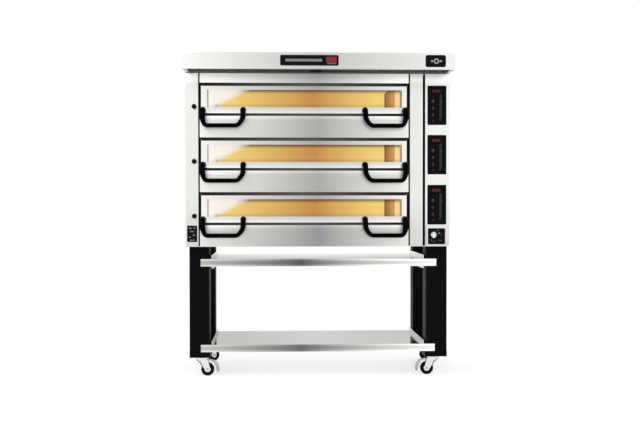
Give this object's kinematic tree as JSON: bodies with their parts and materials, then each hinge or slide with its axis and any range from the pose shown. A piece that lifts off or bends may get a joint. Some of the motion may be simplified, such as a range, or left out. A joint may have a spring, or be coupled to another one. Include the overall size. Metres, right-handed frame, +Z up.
{
  "type": "deck oven",
  "caption": "Stone-hearth bakery deck oven with stacked chambers, glazed lift-up doors, front extraction hood, side control cabinet and an open castor stand with shelves.",
  "frame": {"origin": "floor level, midway across the width and midway between the hood front and the rear panel", "axes": "+X to the oven's right seen from the front, +Y toward the rear, +Z up; the front faces -Y"},
  "size_m": [1.6, 1.184, 1.943],
  "materials": {
    "stainless": "brushed",
    "polished_steel": "mirror polished",
    "stand_black": "satin powder coat",
    "handle_black": "satin",
    "door_glass": "clear",
    "chamber_steel": "heat tinted",
    "hearth_stone": "rough",
    "heating_element": "oxidised",
    "insulation": "fibrous",
    "control_panel": "gloss membrane",
    "black_bakelite": "satin",
    "switch_knob": "satin",
    "castor_zinc": "zinc plated",
    "castor_tyre": "matt"
  },
  "bodies": {
    "root": {"left_side_panel": "stainless", "right_side_panel": "stainless", "rear_panel": "stainless", "roof_panel": "stainless", "base_pan": "stainless", "left_front_column": "stainless", "right_filler_column": "stainless", "control_cabinet": "stainless", "fascia_panel": "stainless", "lower_front_panel_1": "stainless", "lower_front_panel_2": "stainless", "lower_front_panel_3": "stainless", "hood": "stainless", "chamber_liner_1": "chamber_steel", "chamber_liner_2": "chamber_steel", "chamber_liner_3": "chamber_steel", "hearth_stone_1": "hearth_stone", "hearth_stone_2": "hearth_stone", "hearth_stone_3": "hearth_stone", "heating_element_1": "heating_element", "heating_element_2": "heating_element", "heating_element_3": "heating_element", "insulation_block": "insulation", "base_rail_left": "stand_black", "base_rail_right": "stand_black", "leg_front_left": "stand_black", "leg_rear_left": "stand_black", "leg_front_right": "stand_black", "leg_rear_right": "stand_black", "upper_shelf": "polished_steel", "lower_shelf": "polished_steel", "control_panel_1": "control_panel", "control_panel_2": "control_panel", "control_panel_3": "control_panel"},
    "door_1": {"door_frame_1": "stainless", "door_glass_1": "door_glass", "door_handle_left_1": "handle_black", "door_handle_right_1": "handle_black"},
    "door_2": {"door_frame_2": "stainless", "door_glass_2": "door_glass", "door_handle_left_2": "handle_black", "door_handle_right_2": "handle_black"},
    "door_3": {"door_frame_3": "stainless", "door_glass_3": "door_glass", "door_handle_left_3": "handle_black", "door_handle_right_3": "handle_black"},
    "damper_1": {"damper_knob_1": "black_bakelite"},
    "damper_2": {"damper_knob_2": "black_bakelite"},
    "damper_3": {"damper_knob_3": "black_bakelite"},
    "main_switch": {"main_switch_knob": "switch_knob"},
    "castor_front_left": {"castor_fork_front_left": "castor_zinc"},
    "wheel_front_left": {"castor_wheel_front_left": "castor_tyre"},
    "pedal_left": {"brake_pedal_left": "black_bakelite"},
    "castor_front_right": {"castor_fork_front_right": "castor_zinc"},
    "wheel_front_right": {"castor_wheel_front_right": "castor_tyre"},
    "pedal_right": {"brake_pedal_right": "black_bakelite"},
    "castor_rear_left": {"castor_fork_rear_left": "castor_zinc"},
    "wheel_rear_left": {"castor_wheel_rear_left": "castor_tyre"},
    "castor_rear_right": {"castor_fork_rear_right": "castor_zinc"},
    "wheel_rear_right": {"castor_wheel_rear_right": "castor_tyre"}
  },
  "joints": [
    {"name": "door_1_hinge", "type": "hinge", "parent": "root", "child": "door_1", "pos_m": [-0.084, -0.368, 1.772], "axis": [-1, 0, 0], "range_deg": [0, 78]},
    {"name": "door_2_hinge", "type": "hinge", "parent": "root", "child": "door_2", "pos_m": [-0.084, -0.368, 1.442], "axis": [-1, 0, 0], "range_deg": [0, 78]},
    {"name": "door_3_hinge", "type": "hinge", "parent": "root", "child": "door_3", "pos_m": [-0.084, -0.368, 1.112], "axis": [-1, 0, 0], "range_deg": [0, 78]},
    {"name": "damper_1_pull", "type": "slide", "parent": "root", "child": "damper_1", "axis": [0, -1, 0], "range_m": [0, 0.04]},
    {"name": "damper_2_pull", "type": "slide", "parent": "root", "child": "damper_2", "axis": [0, -1, 0], "range_m": [0, 0.04]},
    {"name": "damper_3_pull", "type": "slide", "parent": "root", "child": "damper_3", "axis": [0, -1, 0], "range_m": [0, 0.04]},
    {"name": "main_switch_turn", "type": "hinge", "parent": "root", "child": "main_switch", "pos_m": [0.703, -0.393, 0.866], "axis": [0, 1, 0], "range_deg": [0, 90]},
    {"name": "castor_front_left_swivel", "type": "hinge", "parent": "root", "child": "castor_front_left", "pos_m": [-0.716, -0.258, 0.11], "axis": [0, 0, 1], "continuous": true},
    {"name": "wheel_front_left_roll", "type": "hinge", "parent": "castor_front_left", "child": "wheel_front_left", "pos_m": [-0.676, -0.258, 0.04], "axis": [0, 1, 0], "continuous": true},
    {"name": "pedal_left_tip", "type": "hinge", "parent": "castor_front_left", "child": "pedal_left", "pos_m": [-0.682, -0.258, 0.098], "axis": [0, 1, 0], "range_deg": [0, 10]},
    {"name": "castor_front_right_swivel", "type": "hinge", "parent": "root", "child": "castor_front_right", "pos_m": [0.716, -0.258, 0.11], "axis": [0, 0, 1], "continuous": true},
    {"name": "wheel_front_right_roll", "type": "hinge", "parent": "castor_front_right", "child": "wheel_front_right", "pos_m": [0.676, -0.258, 0.04], "axis": [0, 1, 0], "continuous": true},
    {"name": "pedal_right_tip", "type": "hinge", "parent": "castor_front_right", "child": "pedal_right", "pos_m": [0.682, -0.258, 0.098], "axis": [0, -1, 0], "range_deg": [0, 10]},
    {"name": "castor_rear_left_swivel", "type": "hinge", "parent": "root", "child": "castor_rear_left", "pos_m": [-0.716, 0.437, 0.11], "axis": [0, 0, 1], "continuous": true},
    {"name": "wheel_rear_left_roll", "type": "hinge", "parent": "castor_rear_left", "child": "wheel_rear_left", "pos_m": [-0.67841, 0.45068, 0.04], "axis": [-0.342, 0.9397, 0], "continuous": true},
    {"name": "castor_rear_right_swivel", "type": "hinge", "parent": "root", "child": "castor_rear_right", "pos_m": [0.716, 0.437, 0.11], "axis": [0, 0, 1], "continuous": true},
    {"name": "wheel_rear_right_roll", "type": "hinge", "parent": "castor_rear_right", "child": "wheel_rear_right", "pos_m": [0.75464, 0.44735, 0.04], "axis": [0.2588, -0.9659, 0], "continuous": true}
  ]
}
